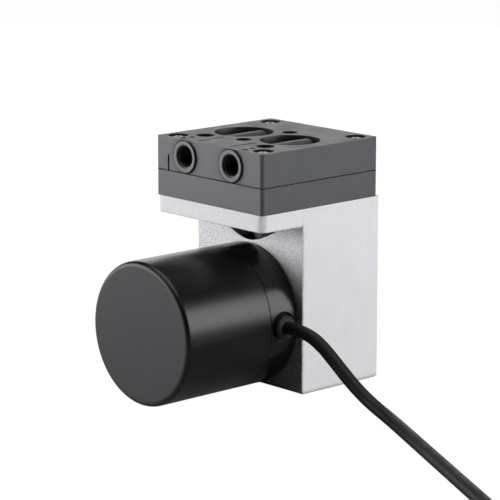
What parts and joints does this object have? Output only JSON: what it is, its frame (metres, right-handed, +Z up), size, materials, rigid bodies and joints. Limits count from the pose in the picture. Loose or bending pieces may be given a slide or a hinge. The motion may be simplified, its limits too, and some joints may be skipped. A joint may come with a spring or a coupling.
{
  "type": "diaphragm vacuum pump",
  "caption": "Oil-free diaphragm vacuum pump with a square black head, two threaded front ports, an L-shaped alloy housing and a round brushless motor.",
  "frame": {"origin": "on the floor plane below the middle of the pump's outline, the lead left out", "axes": "+Z up, -Y to the motor's front, +X to the side where the lead leaves"},
  "size_m": [0.2772, 0.1133, 0.0953],
  "materials": {
    "alloy": "fine bead-blasted, silver-white",
    "head_plastic": "matte black moulded",
    "steel": "bright zinc",
    "dark_steel": "blackened",
    "magnet": "nickel plated",
    "rubber": "matte elastomer",
    "grommet_rubber": "matte elastomer",
    "cable_jacket": "semi-matte jacket",
    "copper": "enamelled wire",
    "board": "green lacquer",
    "chip_black": "matte black",
    "motor_black": "satin black",
    "plug_plastic": "matte black nylon"
  },
  "bodies": {
    "housing": {"housing": "alloy", "lower_head_plate": "head_plastic", "head_cover": "head_plastic", "head_screws": "steel", "centre_screws": "steel", "valve_seals": "rubber", "diaphragm": "rubber", "stator_core": "dark_steel", "stator_windings": "copper", "front_bearing_outer_ring": "steel", "front_bearing_balls": "steel", "rear_bearing_outer_ring": "steel", "rear_bearing_balls": "steel", "motor_base": "motor_black", "motor_base_screws": "steel", "driver_board": "board", "board_parts": "chip_black", "board_screws": "steel", "motor_cover": "motor_black", "cable_grommet": "grommet_rubber", "cable_inner_end": "cable_jacket", "cable": "cable_jacket", "cable_coil": "cable_jacket", "cable_tail": "cable_jacket", "lead_plug": "plug_plastic"},
    "rotor": {"motor_shaft": "steel", "rotor_bell": "dark_steel", "rotor_magnets": "magnet", "front_bearing_inner_ring": "steel", "rear_bearing_inner_ring": "steel", "eccentric": "dark_steel", "eccentric_set_screw": "dark_steel", "pin_clip": "dark_steel", "rod_bearing_inner_ring": "steel"},
    "rod": {"connecting_rod": "head_plastic", "rod_bearing_outer_ring": "steel", "rod_bearing_balls": "steel", "clamp_disc": "steel", "clamp_screw": "dark_steel"},
    "inlet_valve": {"inlet_valve_disc": "rubber"},
    "outlet_valve": {"outlet_valve_disc": "rubber"}
  },
  "joints": [
    {"name": "rotor_spin", "type": "hinge", "parent": "housing", "child": "rotor", "pos_m": [0, 0, 0.0278], "axis": [0, -1, 0], "continuous": true},
    {"name": "rod_on_pin", "type": "hinge", "parent": "rotor", "child": "rod", "pos_m": [0, 0.0166, 0.026], "axis": [0, -1, 0], "continuous": true, "deforming": ["diaphragm"]},
    {"name": "inlet_valve_lift", "type": "slide", "parent": "housing", "child": "inlet_valve", "axis": [0, 0, -1], "range_m": [0, 0.0007]},
    {"name": "outlet_valve_lift", "type": "slide", "parent": "housing", "child": "outlet_valve", "axis": [0, 0, 1], "range_m": [0, 0.0007]}
  ],
  "couplings": [
    {"joint": "rod_on_pin", "follows": "rotor_spin", "ratio": -1}
  ]
}
